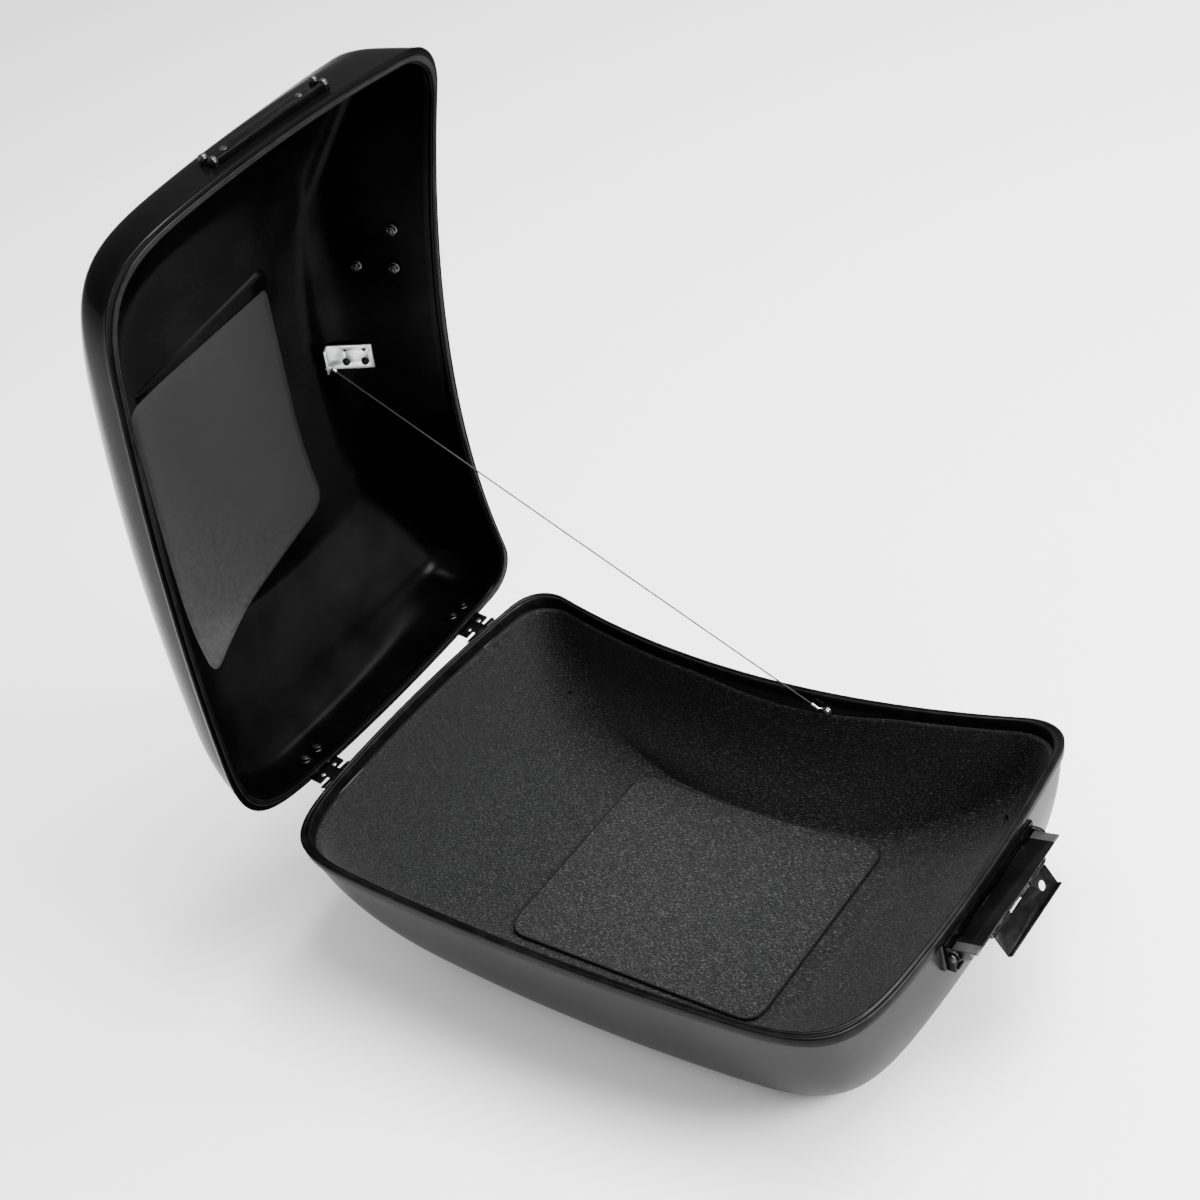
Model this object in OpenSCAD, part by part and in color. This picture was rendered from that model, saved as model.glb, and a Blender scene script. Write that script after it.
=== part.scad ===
// Side-hinged motorcycle touring trunk, shown with its lid open.
// +X points at the latch side, -X at the hinge side, +Y at the hollow front wall that faces
// the rider, +Z up. The origin is on the flat foot under the base, in the middle of the rack holes.

/* [Trunk] */
// Height of the rim of the base above the rack
rim_z = 172; // [150:1:200]
// Half of the distance between the two sides at the rim, measured at the corners
half_w = 343; // [320:1:360]
// Distance from the centre to the rear edge and to the front corners of the rim
half_d = 242.5; // [225:0.5:255]
// How far the front edge is hollowed in the middle
front_hollow = 55; // [40:1:65]
// How far the rear edge bulges in the middle
rear_bulge = 17; // [8:1:25]
// How far each side edge bulges in the middle
side_bulge = 16; // [14:1:18]
// Length that each rear corner takes from its two edges
rear_corner = 105; // [80:1:120]
// Length that each front corner takes from its two edges
front_corner = 50; // [40:1:60]
// Thickness of the moulded walls
wall = 4; // [3:0.5:5]

/* [Lid] */
// Height of the domed lid
lid_h = 134; // [120:1:150]
// How far the rim of the lid stands outside the rim of the base
lid_over = 6; // [5:0.5:7]
// Width of the flat flange around the mouth of the lid
flange_w = 12; // [10:1:14]
// Angle at which the check cable stops the open lid
open_deg = 80; // [70:1:82]

/* [Hinges] */
// Distance of the hinge axis from the centre plane
hinge_x = 367; // [367:0.5:370]
// Depth of the hinge axis below the rim
hinge_drop = 13.5; // [13:0.5:15]
// Places of the two hinges along the side
hinge_ys = [-110, 154];
// Length of a hinge along its pin
hinge_len = 44; // [40:2:50]

/* [Latch] */
// Place of the middle of the latch along the side
latch_y = 22; // [15:1:30]
// Half of the length of the latch bracket
latch_half = 88; // [80:1:95]
// Rest angle of the draw bar above the horizontal
bar_deg = 10; // [5:1:15]
// Rest angle of the hook plate below the horizontal
hook_deg = 60; // [55:1:65]
// Length of the hook plate from its pin to its lip
hook_len = 28.6; // [28.4:0.1:29]

/* [Carpet] */
// Thickness of the carpet lining
felt = 4; // [3:0.5:5]
// Distance of the top edge of the lining below the rim
felt_drop = 14; // [12:1:18]

/* [Rack mount] */
// Distance between the rack holes across the trunk
rack_w = 220; // [180:5:240]
// Distance between the rack holes along the motorcycle
rack_d = 150; // [130:5:160]
// Diameter of a rack hole
rack_hole_d = 7; // [6:0.5:9]

/* [Hidden] */

$fn = 48;
EDGE_STEPS = 8;
CORNER_STEPS = 8;
REAR_EASE = 0.83;
FRONT_EASE = 0.6;

trim_t = 3;
shell_top = rim_z - trim_t;
lid_z0 = rim_z + 2;
hinge_z = rim_z - hinge_drop;
trim_low = shell_top - 9;
boss_top = trim_low - 0.5;
foot_z = 8;
cut_h = 1;

// Insets of the walls over the full height, each as [straight draft, rounding, power of the
// rounding]. The order is hinge side, latch side, rear, front; the lid's two sides are alike.
BASE_INSET = [[27, 123, 2], [9, 70, 2], [14, 65, 2], [21, 42, 2]];
LID_INSET = [[14, 0, 2], [40, 92, 2.6], [36, 60, 6]];
// How much deeper the lid's front is hollowed at its top, and how much of the hollow the
// narrower levels lose.
LID_HOLLOW_GAIN = 20;
LID_FLATTER = 0.6;
// The lid's two ends lean in above a soft crease: how far over the full height and the crease's
// place as a part of the height, at the rear and at the front, and its softness.
REAR_LEAN = [206, 0.39];
FRONT_LEAN = [322, 0.63];
LEAN_SOFT = 0.06;
BASE_LEVELS = [0.953, 0.88, 0.78, 0.66, 0.52, 0.36, 0.18, 0];
LID_LEVELS = [0, 0.16, 0.31, 0.38, 0.45, 0.55, 0.62, 0.7, 0.82, 0.9, 0.95, 0.975];

function rounding(u, p) = 1 - pow(1 - pow(u, p), 1 / p);
function inset(side, u) = side[0] * u + side[1] * rounding(u, side[2]);
function lean(end, u) = end[0] / 2 * (sqrt(pow(u - end[1], 2) + pow(LEAN_SOFT, 2)) + u
  - sqrt(pow(end[1], 2) + pow(LEAN_SOFT, 2)));

// A level is [z, left x, right x, rear y, front y, front hollow, spread], where the two front
// corners stand wider than left x and right x by the spread.
function base_level(u) = [
  rim_z * (1 - u),
  -half_w + inset(BASE_INSET[0], u),
  half_w - inset(BASE_INSET[1], u),
  -half_d + inset(BASE_INSET[2], u),
  half_d - inset(BASE_INSET[3], u),
  front_hollow * (1 - 0.2 * u), 0];
function lid_level(u) = let (
  half = half_w + lid_over - inset(LID_INSET[0], u) - lean(REAR_LEAN, u),
  spread = lean(REAR_LEAN, u) - lean(FRONT_LEAN, u),
  hollow = front_hollow + LID_HOLLOW_GAIN * u,
  flatter = LID_FLATTER * hollow * (1 - pow((half + spread) / (half_w + lid_over), 2))) [
  lid_z0 + lid_h * u, -half, half,
  -half_d - lid_over + inset(LID_INSET[1], u),
  half_d + lid_over - inset(LID_INSET[2], u) - flatter,
  hollow - flatter, spread];
// The straight run of the base wall just under the rim, outside and inside, at height z.
function under_rim(z, top, low) = base_level(0)
  + max(top - z, 0) / (top - low) * (base_level(BASE_LEVELS[6]) - base_level(0));
function outer_level(z) = under_rim(z, shell_top, base_level(BASE_LEVELS[6])[0]);
function inner_level(z) =
  under_rim(z, rim_z + cut_h, base_level(BASE_LEVELS[6])[0] + wall * BASE_LEVELS[6]);
// The same level moved in by t and set at height z.
function moved(s, t, z) = [z, s[1] + t, s[2] - t, s[3] + t, s[4] - t, s[5], s[6]];

function bez2(a, m, b, t) = pow(1 - t, 2) * a + 2 * t * (1 - t) * m + t * t * b;
function dir2(a, m, b, t) = let (d = (1 - t) * (m - a) + t * (b - m)) d / norm(d);
function bez3(a, b, c, d, t) =
  pow(1 - t, 3) * a + 3 * t * pow(1 - t, 2) * b + 3 * t * t * (1 - t) * c + pow(t, 3) * d;

// Outline of one level: four bowed edges joined by four eased corners, as [x, y, z] points.
function outline(s) = let (
  mid_x = (s[1] + s[2]) / 2,
  rear_y = s[3] + rear_bulge,
  side_y = (rear_y + s[4]) / 2,
  corners = [[s[1], rear_y], [s[2], rear_y], [s[2] + s[6], s[4]], [s[1] - s[6], s[4]]],
  mids = [[mid_x, s[3] - rear_bulge], [s[2] + s[6] / 2 + 2 * side_bulge, side_y],
    [mid_x, s[4] - 2 * s[5]], [s[1] - s[6] / 2 - 2 * side_bulge, side_y]],
  cuts = [rear_corner, rear_corner, front_corner, front_corner],
  eases = [REAR_EASE, REAR_EASE, FRONT_EASE, FRONT_EASE]) [
  for (i = [0:3]) let (
    j = (i + 1) % 4, k = (i + 2) % 4,
    a = corners[i], m = mids[i], b = corners[j], n = mids[j], c = corners[k],
    t0 = cuts[i] / norm(b - a), t1 = 1 - cuts[j] / norm(b - a), t2 = cuts[j] / norm(c - b),
    p0 = bez2(a, m, b, t1), p3 = bez2(b, n, c, t2),
    p1 = p0 + dir2(a, m, b, t1) * norm(b - p0) * eases[j],
    p2 = p3 - dir2(b, n, c, t2) * norm(b - p3) * eases[j])
  each concat(
    [for (q = [0:EDGE_STEPS - 1]) bez2(a, m, b, t0 + (t1 - t0) * q / EDGE_STEPS)],
    [for (q = [0:CORNER_STEPS - 1]) bez3(p0, p1, p2, p3, q / CORNER_STEPS)])];
function ring(s) = [for (p = outline(s)) [p[0], p[1], s[0]]];

// Closed solid through a list of levels, from the lowest to the highest.
module loft(levels) {
  n = len(outline(levels[0]));
  last = len(levels) - 1;
  points = [for (s = levels) each ring(s)];
  sides = [for (i = [0:last - 1]) for (j = [0:n - 1]) let (
      a = i * n + j, b = i * n + (j + 1) % n)
    each [[a, a + n, b], [b, a + n, b + n]]];
  polyhedron(points, concat([[for (j = [0:n - 1]) j]], sides,
    [[for (j = [n - 1:-1:0]) last * n + j]]));
}

// Closed band through the outlines of a closed list of levels.
module band(levels) {
  n = len(outline(levels[0]));
  m = len(levels);
  points = [for (s = levels) each ring(s)];
  faces = [for (i = [0:m - 1]) for (j = [0:n - 1]) let (
      a = i * n + j, b = i * n + (j + 1) % n,
      c = ((i + 1) % m) * n + j, d = ((i + 1) % m) * n + (j + 1) % n)
    each [[a, c, b], [b, c, d]]];
  polyhedron(points, faces);
}

// Box between two corners.
module span(low, high) {
  translate(low) cube(high - low);
}

// Children drawn along direction d from point p, with their own Z along d.
module along(p, d) {
  translate(p) rotate([0, acos(d[2] / norm(d)), atan2(d[1], d[0])]) children();
}

// Cylinder with its axis along Y, from y0 to y1, centred on x, z.
module y_rod(x, z, y0, y1, r) {
  translate([x, y0, z]) rotate([-90, 0, 0]) cylinder(h = y1 - y0, r = r);
}

// Puts what is drawn in the closed place of the lid into its open place.
module opened() {
  translate([-hinge_x, 0, hinge_z]) rotate([0, -open_deg, 0])
    translate([hinge_x, 0, -hinge_z]) children();
}

// ---- fastener sizes and places ----
rivet_r = 2.4;
bolt_r = 2.9;
hole_gap = 0.15;
leaf_t = 2.5;
pad_x = -hinge_x + 6;
pad_half = hinge_len / 2 + 1;
hinge_screw_spots = [for (y = hinge_ys) for (dy = [-10, 10]) for (z = [-24, -39]) [y + dy, rim_z + z]];
hinge_bolt_spots = [for (y = hinge_ys) for (dy = [-10, 10]) [y + dy, lid_z0 + 18]];
boss_x = 358;
latch_screw_spots = [for (dy = [-66, 66]) for (z = [-19, -37]) [latch_y + dy, rim_z + z]];
catch_x = 360.5;
catch_z = lid_z0 + 26;
catch_half = 80;
catch_spots = [latch_y - 52, latch_y + 52];
vent_spots = [[-295, rim_z - 27], [-284, rim_z - 105], [231, rim_z - 111], [284, rim_z - 105]];
rack_spots = [for (x = [-1, 1]) for (y = [-1, 1]) [x * rack_w / 2, y * rack_d / 2]];

// ---- base shell and its lining ----
function foot_level(z) = moved(base_level(BASE_LEVELS[0]), 14, z);
module base_outer() {
  loft([for (u = BASE_LEVELS) u == 0 ? moved(base_level(0), 0, shell_top) : base_level(u)]);
  loft([foot_level(0), foot_level(foot_z + cut_h)]);
}
module base_inner() {
  loft([for (u = BASE_LEVELS) let (s = base_level(u))
    moved(s, wall, u == 0 ? rim_z + cut_h : max(s[0], 0) + wall * u)]);
}
module base_shell() {
  color("#1b1b1d") difference() {
    union() {
      base_outer();
      for (y = hinge_ys)
        span([pad_x, y - pad_half, rim_z - 52], [pad_x + 20, y + pad_half, boss_top]);
      span([boss_x - 20, latch_y - latch_half - 2, rim_z - 48],
        [boss_x, latch_y + latch_half + 2, boss_top]);
    }
    base_inner();
    for (s = hinge_screw_spots)
      along([pad_x - 1, s[0], s[1]], [1, 0, 0]) cylinder(h = 40, r = rivet_r + hole_gap);
    for (s = latch_screw_spots)
      along([boss_x + 1, s[0], s[1]], [-1, 0, 0]) cylinder(h = 40, r = rivet_r + hole_gap);
    for (s = vent_spots)
      along([s[0], 120, s[1]], [0, 1, 0]) cylinder(h = 140, r = 3);
    for (s = rack_spots)
      translate([s[0], s[1], -cut_h]) cylinder(h = 30, r = rack_hole_d / 2);
    along([anchor[0], anchor[1] - 8, anchor[2]], [0, 1, 0]) cylinder(h = 30, r = 2.2 + hole_gap);
  }
}

felt_gap = 0.6;
floor_top = base_level(BASE_LEVELS[0])[0] + wall * BASE_LEVELS[0];
liner_floor = floor_top + felt_gap + felt * BASE_LEVELS[0];
// The lining bridges the rounded edge of the floor with a gentle slope: how far the slope
// reaches in over the floor, and the part of the depth where it starts.
LINER_SLOPE = [[60, 0.76], [107, 0.38], [16, 0.7]];
function slope(side, u) =
  side[0] * pow(max(u - side[1], 0) / (BASE_LEVELS[0] - side[1]), 2);
// Level of the lining at inset t. Its hollow front has the curve of the shell's own front, moved
// sideways to its own middle and back until both of its ends are clear.
function liner_level(u, t, z) = let (
  s = base_level(u),
  left = s[1] + slope(LINER_SLOPE[0], u), right = s[2] - slope(LINER_SLOPE[1], u),
  mid = (s[1] + s[2]) / 2, own = (left + right) / 2,
  curve = s[5] / pow(mid - s[1], 2), hollow = curve * pow(own - left, 2),
  end = own < mid ? right : left,
  back = curve * (own - mid) * (2 * end - mid - own))
  moved([z, left, right, s[3] + slope(LINER_SLOPE[2], u), s[4] - s[5] + back + hollow, hollow, 0],
    t, z);
function liner_levels(t, rise) = concat(
  [for (u = BASE_LEVELS) if (u > 0.1) liner_level(u, t, base_level(u)[0] + rise * u + felt_gap)],
  [moved(inner_level(rim_z - felt_drop), t, rim_z - felt_drop)]);
// The top edge of the lining hangs lower along the middle of the front wall.
sag_low = [-85, 100, rim_z - 27];
sag_high = [170, half_d, rim_z];
module base_liner() {
  inner = wall + felt_gap + felt;
  color("#3a3b3d") difference() {
    loft(liner_levels(wall + felt_gap, wall));
    loft(concat(liner_levels(inner, wall + felt),
      [moved(inner_level(rim_z - felt_drop), inner, rim_z + cut_h)]));
    span(sag_low, sag_high);
    for (s = vent_spots)
      along([s[0], 120, s[1]], [0, 1, 0]) cylinder(h = 140, r = 3);
  }
}
// Loose panel of the same felt on the floor, with round corners and a hollow front edge.
mat_half = 156;
mat_rear = -125;
mat_front = 140;
mat_r = 22;
mat_t = 3;
mat_hollow = 8;
module floor_mat() {
  hollow_r = (pow(mat_half, 2) + pow(mat_hollow, 2)) / (2 * mat_hollow);
  color("#404143") translate([0, 0, liner_floor + 0.1])
    linear_extrude(height = mat_t) difference() {
      union() {
        translate([-mat_half, mat_rear + mat_r]) square([2 * mat_half, mat_front - mat_rear - 2 * mat_r]);
        translate([mat_r - mat_half, mat_rear]) square([2 * (mat_half - mat_r), mat_front - mat_rear]);
        for (x = [-1, 1]) for (y = [mat_rear + mat_r, mat_front - mat_r])
          translate([x * (mat_half - mat_r), y]) circle(r = mat_r);
      }
      translate([0, mat_front - mat_hollow + hollow_r]) circle(r = hollow_r, $fn = 360);
    }
}
module base_rim_trim() {
  slot = 0.3;
  lip = 2;
  color("#151515") band([
    moved(outer_level(trim_low), -lip, trim_low), moved(outer_level(rim_z), -lip, rim_z),
    moved(inner_level(rim_z), wall + lip, rim_z), moved(inner_level(trim_low), wall + lip, trim_low),
    moved(inner_level(trim_low), wall + slot, trim_low),
    moved(inner_level(shell_top), wall + slot, shell_top),
    moved(outer_level(shell_top), -slot, shell_top),
    moved(outer_level(trim_low), -slot, trim_low)]);
}
// Thin steel washers on the floor of the base, around the rack holes and under the mat.
module rack_washers() {
  color("#8f9296") for (s = rack_spots)
    translate([s[0], s[1], floor_top]) difference() {
      cylinder(h = 0.5, r = 11);
      translate([0, 0, -cut_h]) cylinder(h = 3, r = rack_hole_d / 2);
    }
}

// ---- hinges ----
knuckle_r = 5;
pin_r = 2.5;
fit_gap = 0.05;
knuckle_in = 7.7;
knuckle_out = 8;
module knuckle(yc, y0, y1) {
  y_rod(-hinge_x, hinge_z, yc + y0, yc + y1, knuckle_r);
}
module hinge_base_leaf(yc) {
  half = hinge_len / 2;
  color("#222325") difference() {
    union() {
      span([pad_x - leaf_t, yc - half, rim_z - 50], [pad_x, yc + half, hinge_z - 6.5]);
      for (side = [[-half, -knuckle_out], [knuckle_out, half]]) {
        knuckle(yc, side[0], side[1]);
        span([pad_x - leaf_t, yc + side[0], hinge_z - 7], [pad_x, yc + side[1], hinge_z]);
      }
    }
    y_rod(-hinge_x, hinge_z, yc - half - 1, yc + half + 1, pin_r + fit_gap);
    for (s = hinge_screw_spots)
      along([pad_x - 5, s[0], s[1]], [1, 0, 0]) cylinder(h = 9, r = rivet_r + hole_gap);
  }
}
module hinge_lid_leaf(yc) {
  opened() color("#222325") difference() {
    union() {
      y_rod(-hinge_x, hinge_z, yc - knuckle_in, yc + knuckle_in, knuckle_r);
      span([pad_x - leaf_t, yc - knuckle_in, hinge_z], [pad_x, yc + knuckle_in, hinge_z + 7]);
      span([pad_x - leaf_t, yc - 20, hinge_z + 6.5], [pad_x, yc + 20, lid_z0 + 32]);
    }
    y_rod(-hinge_x, hinge_z, yc - 10, yc + 10, pin_r + fit_gap);
    for (s = hinge_bolt_spots)
      along([pad_x - 5, s[0], s[1]], [1, 0, 0]) cylinder(h = 9, r = bolt_r + hole_gap);
    for (dy = [-9, 9])
      along([pad_x - 5, yc + dy, hinge_z + 11], [1, 0, 0]) cylinder(h = 9, r = 1.5 + hole_gap);
  }
}
module hinge_pin(yc) {
  half = hinge_len / 2;
  color("#7d8084") union() {
    y_rod(-hinge_x, hinge_z, yc - half - 0.3, yc + half + 0.3, pin_r);
    for (y = [-half - 2, half + 0.3])
      y_rod(-hinge_x, hinge_z, yc + y, yc + y + 1.7, 4);
  }
}
module hinge_base_leaf_rear() { hinge_base_leaf(hinge_ys[0]); }
module hinge_base_leaf_front() { hinge_base_leaf(hinge_ys[1]); }
module hinge_lid_leaf_rear() { hinge_lid_leaf(hinge_ys[0]); }
module hinge_lid_leaf_front() { hinge_lid_leaf(hinge_ys[1]); }
module hinge_pin_rear() { hinge_pin(hinge_ys[0]); }
module hinge_pin_front() { hinge_pin(hinge_ys[1]); }

// Low domed head on a shank: the head's seat is at the start, the shank runs forwards.
module headed(head_r, head_h, shank_r, shank_l) {
  cylinder(h = shank_l, r = shank_r);
  translate([0, 0, -head_h]) cylinder(h = head_h, r1 = head_r * 0.7, r2 = head_r);
}
// Six-sided nut with its washer, drilled for the bolt.
module nut(shank_r) {
  difference() {
    union() {
      cylinder(h = 1.2, r = 6.2);
      translate([0, 0, 1.2]) cylinder(h = 4.2, r = 5.2, $fn = 6);
    }
    translate([0, 0, -1]) cylinder(h = 9, r = shank_r + 0.05);
  }
}
module hinge_base_screws() {
  color("#9a9da1") for (s = hinge_screw_spots)
    along([pad_x - leaf_t, s[0], s[1]], [1, 0, 0]) headed(4.6, 2, rivet_r, 13);
}
module hinge_lid_bolts() {
  color("#b9bcc0") opened() for (s = hinge_bolt_spots) {
    along([pad_x - leaf_t, s[0], s[1]], [1, 0, 0]) headed(5, 2.4, bolt_r, 21);
    along([pad_x + 12.2, s[0], s[1]], [1, 0, 0]) nut(bolt_r);
  }
}
module hinge_lid_rivets() {
  color("#c6c8ca") opened() for (yc = hinge_ys) for (dy = [-9, 9])
    along([pad_x, yc + dy, hinge_z + 11], [-1, 0, 0]) headed(3.2, 1.4, 1.5, leaf_t + 0.8);
}

// ---- lid ----
stud_spots = [[152, 46], [109, 84], [109, 46]];
stud_lean = 22;
stud_dir = [0, cos(stud_lean), sin(stud_lean)];
// Front wall of the lid: outer y at a place x, height z above its mouth.
function lid_front_y(x, z) = let (s = lid_level(z / lid_h),
  t = (x - s[1] + s[6]) / (s[2] - s[1] + 2 * s[6])) s[4] - s[5] * 4 * t * (1 - t);
function on_lid_front(x, z) = [x, lid_front_y(x, z), lid_z0 + z];

module lid_outer() {
  loft([for (u = LID_LEVELS) lid_level(u)]);
}
module lid_inner() {
  mouth = lid_level(0);
  loft(concat([moved(mouth, flange_w, lid_z0 - cut_h), moved(mouth, flange_w, lid_z0 + 4),
      moved(mouth, wall, lid_z0 + 4.5)],
    [for (u = LID_LEVELS) if (u > 0) let (s = lid_level(u)) moved(s, wall, s[0] - wall * u)]));
}
module lid_shell() {
  opened() color("#1b1b1d") difference() {
    union() {
      lid_outer();
      for (y = hinge_ys)
        span([pad_x, y - pad_half, lid_z0 + 3], [pad_x + 20, y + pad_half, lid_z0 + 34]);
    }
    difference() {
      lid_inner();
      span([catch_x - 3, latch_y - catch_half, lid_z0 + 5], [catch_x, latch_y + catch_half, lid_z0 + 38]);
    }
    span([catch_x, latch_y - catch_half, lid_z0 + 13],
      [catch_x + 20, latch_y + catch_half, lid_z0 + 37.5]);
    for (y = hinge_ys)
      span([pad_x - 20, y - pad_half, lid_z0 - cut_h], [pad_x, y + pad_half, lid_z0 + 34]);
    for (s = hinge_bolt_spots)
      along([pad_x - 1, s[0], s[1]], [1, 0, 0]) cylinder(h = 40, r = bolt_r + hole_gap);
    for (y = catch_spots)
      along([catch_x + 1, y, catch_z + 3], [-1, 0, 0]) cylinder(h = 40, r = rivet_r + hole_gap);
    for (s = stud_spots)
      along(on_lid_front(s[0], s[1]) - 12 * stud_dir, stud_dir) cylinder(h = 30, r = bolt_r + hole_gap);
    for (s = bracket_screws)
      on_bracket() translate([s[0], s[1], -20]) cylinder(h = 30, r = bracket_screw_r + hole_gap);
  }
}
module lid_seal() {
  mouth = lid_level(0);
  opened() color("#0f0f10") band([moved(mouth, 5, rim_z + 0.4), moved(mouth, 5, lid_z0),
    moved(mouth, 9.5, lid_z0), moved(mouth, 9.5, rim_z + 0.4)]);
}
module lid_stud_bolts() {
  opened() color("#2a2b2d") for (s = stud_spots)
    along(on_lid_front(s[0], s[1]) + 1.8 * stud_dir, -stud_dir) headed(6, 2, bolt_r, 15);
}
module lid_stud_nuts() {
  opened() color("#8d9094") for (s = stud_spots)
    along(on_lid_front(s[0], s[1]) - 6 * stud_dir, -stud_dir) nut(bolt_r);
}

// ---- check cable ----
bracket_lean = 32.5;
bracket_x = -2;
bracket_zc = 103;
bracket_gap = 3.9;
bracket_dir = [0, cos(bracket_lean), sin(bracket_lean)];
bracket_at = on_lid_front(bracket_x, bracket_zc) - (wall + bracket_gap) * bracket_dir;
cable_r = 0.8;
bracket_screw_r = 2.2;
bracket_half_x = 15;
bracket_half_y = 25;
bracket_screws = [[-5.7, 4.5], [-5.7, -16]];
bracket_holes = [[8.5, 4.5], [8.5, -16]];
// The cable's anchor on the front wall of the base, standing a little off the slanting wall.
anchor_x = 86;
anchor_z = rim_z - 18;
anchor_off = 1.3;
anchor_wall = inner_level(anchor_z);
anchor = [anchor_x,
  anchor_wall[4] - wall - anchor_off - anchor_wall[5] * (1 - pow(anchor_x / half_w, 2)), anchor_z];
// Local frame of the bracket: X along the wall, Y up the wall, Z away from the wall.
module on_bracket() {
  translate(bracket_at) rotate([90 + bracket_lean, 0, 0]) children();
}
// The lower corner of the folded flange, where the cable starts, in the closed place of the lid.
flange_reach = 12;
eye_local = [-9, 21.4, 8];
function rot_x(p, a) = [p[0], p[1] * cos(a) - p[2] * sin(a), p[1] * sin(a) + p[2] * cos(a)];
function rot_open(p) = let (x = p[0] + hinge_x, z = p[2] - hinge_z)
  [x * cos(open_deg) - z * sin(open_deg) - hinge_x, p[1],
   x * sin(open_deg) + z * cos(open_deg) + hinge_z];
eye_closed = bracket_at + rot_x(eye_local, 90 + bracket_lean);
cable_top = rot_open(eye_closed);
cable_low = anchor + [-9, -5, 4];
cable_run = cable_top - cable_low;
module cable_bracket() {
  opened() color("#c9ccd0") on_bracket() difference() {
    union() {
      span([-bracket_half_x, -bracket_half_y, 0], [bracket_half_x, bracket_half_y, 2]);
      span([-bracket_half_x, bracket_half_y - 2, 0], [bracket_half_x, bracket_half_y, flange_reach]);
    }
    for (s = bracket_screws)
      translate([s[0], s[1], -1]) cylinder(h = 6, r = bracket_screw_r + hole_gap);
    y_rod(eye_local[0], eye_local[2], bracket_half_y - 5, bracket_half_y + 3, 1.6);
    for (s = bracket_holes) translate([s[0], s[1], -1]) cylinder(h = 6, r = 1.6);
  }
}
module cable_bracket_screws() {
  opened() color("#202022") for (s = bracket_screws) on_bracket() translate([s[0], s[1], 0]) {
    translate([0, 0, -wall - 4]) cylinder(h = wall + 7, r = bracket_screw_r);
    translate([0, 0, 2]) cylinder(h = 3, r1 = 4.4, r2 = 3.4);
  }
}
module check_cable() {
  color("#3b3c3e") along(cable_low + cable_run * 0.012, cable_run)
    cylinder(h = norm(cable_run) * 0.976, r = cable_r, $fn = 16);
}
module cable_lid_ferrule() {
  color("#a5a8ac") union() {
    along(cable_top - cable_run * 0.012, cable_run) cylinder(h = 7.8, r = 2, $fn = 24);
    opened() on_bracket() translate([eye_local[0], 0, eye_local[2]]) {
      y_rod(0, 0, eye_local[1], bracket_half_y + 1, 1.45);
      y_rod(0, 0, bracket_half_y, bracket_half_y + 1.6, 2.8);
    }
  }
}
module cable_base_eyelet() {
  color("#a5a8ac") union() {
    along(cable_low + cable_run * 0.012, -cable_run) cylinder(h = 9, r = 2, $fn = 24);
    along(cable_low, anchor + [-4.3, -1.2, 1.4] - cable_low) cylinder(h = 6.6, r = 0.9, $fn = 24);
    along(anchor + [0, -0.4, 0], [0, -1, 0]) difference() {
      cylinder(h = 1.5, r = 5);
      translate([0, 0, -1]) cylinder(h = 4, r = 2.25 + hole_gap);
    }
  }
}
module cable_anchor_screw() {
  color("#88898c") along(anchor + [0, -1.9, 0], [0, 1, 0]) headed(3.4, 2.2, 2.2, 8);
}

// ---- latch on the base ----
plate_t = 2.5;
pivot_x = boss_x + plate_t + 6.5;
pivot_z = rim_z - 26;
bar_back = 5;
bar_tip = 18;
bar_half_t = 6;
hook_arm = 21;
hook_pin_r = 2;
bar_end = latch_half - 4.5;
cap_len = 11;
ear_t = 4;
// Puts children drawn in the bar's own plane (X outwards, Z across) at the bar's rest angle.
module on_bar() {
  translate([pivot_x, latch_y, pivot_z]) rotate([0, -bar_deg, 0]) children();
}
module latch_bracket() {
  y0 = latch_y - latch_half;
  y1 = latch_y + latch_half;
  color("#1c1c1e") difference() {
    union() {
      span([boss_x, y0, rim_z - 46], [boss_x + plate_t, y1, boss_top]);
      for (y = [y0, y1 - ear_t]) {
        span([boss_x, y, rim_z - 46], [pivot_x, y + ear_t, rim_z - 19]);
        y_rod(pivot_x, pivot_z, y, y + ear_t, 7);
      }
      span([boss_x, y0 + ear_t, rim_z - 46], [boss_x + 10, y1 - ear_t, rim_z - 43]);
    }
    y_rod(pivot_x, pivot_z, y0 - 1, y1 + 1, pin_r + fit_gap);
    for (s = latch_screw_spots)
      along([boss_x + 5, s[0], s[1]], [-1, 0, 0]) cylinder(h = 9, r = rivet_r + hole_gap);
  }
}
module latch_bracket_screws() {
  color("#9a9da1") for (s = latch_screw_spots)
    along([boss_x + plate_t, s[0], s[1]], [-1, 0, 0]) headed(3.8, 0.5, rivet_r, 7);
}
module latch_pivot_pin() {
  color("#7d8084") union() {
    y_rod(pivot_x, pivot_z, latch_y - latch_half - 0.3, latch_y + latch_half + 0.3, pin_r);
    for (y = [-latch_half - 2.3, latch_half + 0.3])
      y_rod(pivot_x, pivot_z, latch_y + y, latch_y + y + 2, 4.5);
  }
}
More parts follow.
